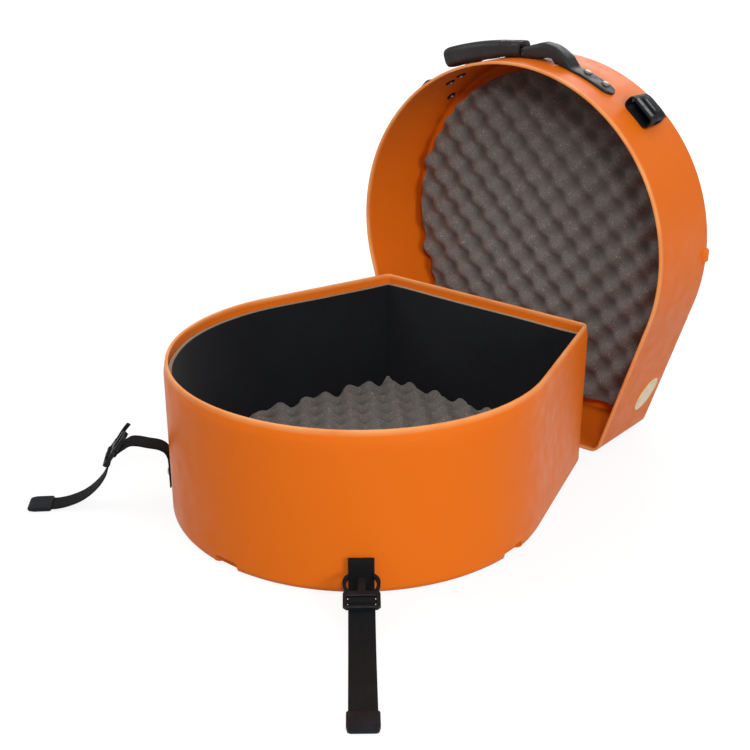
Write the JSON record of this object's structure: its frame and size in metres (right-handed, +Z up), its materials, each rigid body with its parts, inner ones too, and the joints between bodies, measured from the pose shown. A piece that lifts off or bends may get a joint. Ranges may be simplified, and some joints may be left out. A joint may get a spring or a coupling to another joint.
{
  "type": "snare drum case",
  "caption": "Moulded snare drum case in two tubs, open: base lying flat with foam lining, buckled straps, and lid standing behind.",
  "frame": {"origin": "centre of the round of the base, on its underside", "axes": "+Z up, +Y towards the flat foot of the base and the standing lid, +X to the right seen from the front"},
  "size_m": [0.5433, 0.6918, 0.4594],
  "materials": {
    "shell": "satin moulded",
    "lining": "matte",
    "foam": "matte open cell",
    "webbing": "woven",
    "plastic": "satin",
    "steel": "blackened"
  },
  "bodies": {
    "base": {"base_shell": "shell", "base_wall_lining": "lining", "base_floor_foam": "foam", "right_strap_webbing": "webbing", "right_strap_rivet": "steel", "right_strap_washer": "steel", "right_male_buckle": "plastic", "right_strap_end_cap": "plastic", "left_strap_webbing": "webbing", "left_strap_rivet": "steel", "left_strap_washer": "steel", "left_male_buckle": "plastic", "left_strap_end_cap": "plastic"},
    "lid": {"lid_shell": "shell", "lid_foam": "foam", "handle_strap": "webbing", "handle_grip": "plastic", "handle_rivet_right_inner": "steel", "handle_washer_right_inner": "steel", "handle_rivet_right_outer": "steel", "handle_washer_right_outer": "steel", "right_socket": "plastic", "right_socket_rivet": "steel", "right_socket_washer": "steel", "handle_rivet_left_inner": "steel", "handle_washer_left_inner": "steel", "handle_rivet_left_outer": "steel", "handle_washer_left_outer": "steel", "left_socket": "plastic", "left_socket_rivet": "steel", "left_socket_washer": "steel"},
    "right_buckle_prong_right": {"right_buckle_prong_right": "plastic"},
    "right_buckle_prong_left": {"right_buckle_prong_left": "plastic"},
    "left_buckle_prong_right": {"left_buckle_prong_right": "plastic"},
    "left_buckle_prong_left": {"left_buckle_prong_left": "plastic"}
  },
  "joints": [
    {"name": "lid_close", "type": "hinge", "parent": "base", "child": "lid", "pos_m": [0, 0.16335, 0.06735], "axis": [1, 0, 0], "range_deg": [0, 90]},
    {"name": "right_prong_right_press", "type": "hinge", "parent": "base", "child": "right_buckle_prong_right", "pos_m": [0.16534, -0.17008, 0.02332], "axis": [0.1139, -0.1311, 0.9848], "range_deg": [0, 4], "stiffness_Nm_per_rad": 0.6},
    {"name": "right_prong_left_press", "type": "hinge", "parent": "base", "child": "right_buckle_prong_left", "pos_m": [0.14541, -0.1874, 0.02332], "axis": [-0.1139, 0.1311, -0.9848], "range_deg": [0, 4], "stiffness_Nm_per_rad": 0.6},
    {"name": "left_prong_right_press", "type": "hinge", "parent": "base", "child": "left_buckle_prong_right", "pos_m": [-0.17718, -0.19262, 0.07002], "axis": [-0.5843, -0.5742, 0.5736], "range_deg": [0, 4], "stiffness_Nm_per_rad": 0.6},
    {"name": "left_prong_left_press", "type": "hinge", "parent": "base", "child": "left_buckle_prong_left", "pos_m": [-0.19568, -0.17379, 0.07002], "axis": [0.5843, 0.5742, -0.5736], "range_deg": [0, 4], "stiffness_Nm_per_rad": 0.6}
  ]
}
